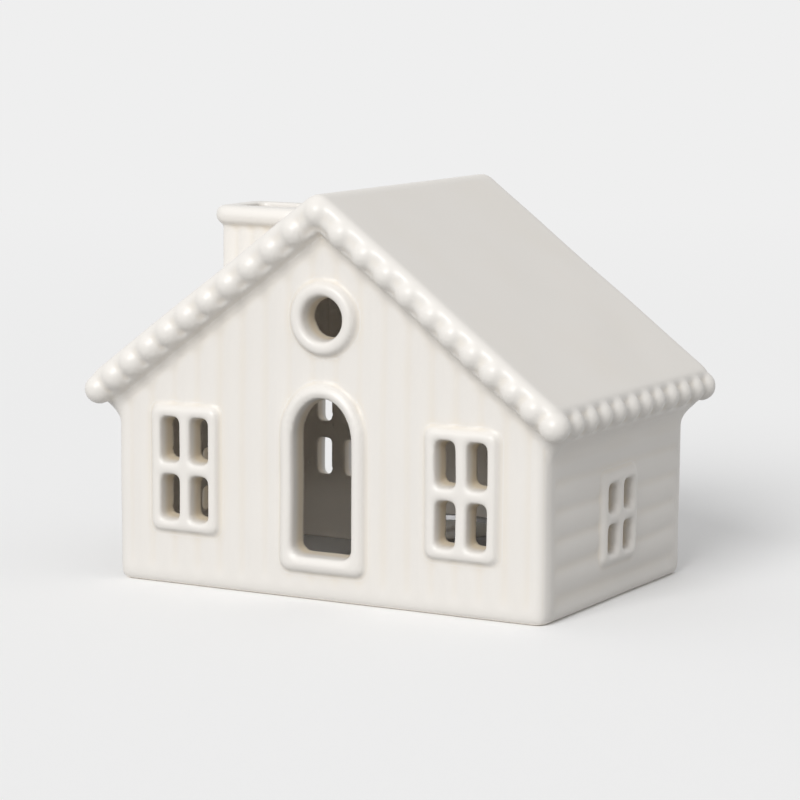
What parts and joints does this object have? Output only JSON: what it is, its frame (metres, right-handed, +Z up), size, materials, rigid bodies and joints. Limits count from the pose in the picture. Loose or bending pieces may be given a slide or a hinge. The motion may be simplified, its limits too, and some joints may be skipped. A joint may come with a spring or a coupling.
{
  "type": "tealight house",
  "caption": "White glazed ceramic cottage without a floor that lowers over a tealight; light shows through its paned windows, arched door and round gable window, and the chimney is its flue.",
  "frame": {"origin": "centre of the house's outline on the surface that it stands on", "axes": "+Z up, -Y out of the front with the door, +X to the right seen from the front, ridge along Y"},
  "size_m": [0.141, 0.097, 0.1047],
  "materials": {
    "white_glaze": "gloss",
    "aluminium_foil": "satin",
    "paraffin_wax": "satin",
    "tinned_steel": "satin",
    "cotton_wick": "matte"
  },
  "bodies": {
    "tealight": {"tealight_cup": "aluminium_foil", "tealight_wax": "paraffin_wax", "wick_sustainer": "tinned_steel", "tealight_wick": "cotton_wick"},
    "house": {"front_wall": "white_glaze", "rear_wall": "white_glaze", "left_wall": "white_glaze", "right_wall": "white_glaze", "roof_left_slope": "white_glaze", "roof_right_slope": "white_glaze", "chimney_stack": "white_glaze", "chimney_rim": "white_glaze", "door_surround": "white_glaze", "gable_window_ring": "white_glaze", "front_left_window_frame": "white_glaze", "front_right_window_frame": "white_glaze", "rear_left_window_frame": "white_glaze", "rear_right_window_frame": "white_glaze", "left_side_window_frame": "white_glaze", "right_side_window_frame": "white_glaze", "front_left_rake_beads": "white_glaze", "front_right_rake_beads": "white_glaze", "rear_left_rake_beads": "white_glaze", "rear_right_rake_beads": "white_glaze", "left_eave_beads": "white_glaze", "right_eave_beads": "white_glaze", "front_apex_bead": "white_glaze", "rear_apex_bead": "white_glaze"}
  },
  "joints": [
    {"name": "house_lift", "type": "slide", "parent": "tealight", "child": "house", "axis": [0, 0, 1], "range_m": [0, 0.06]}
  ]
}
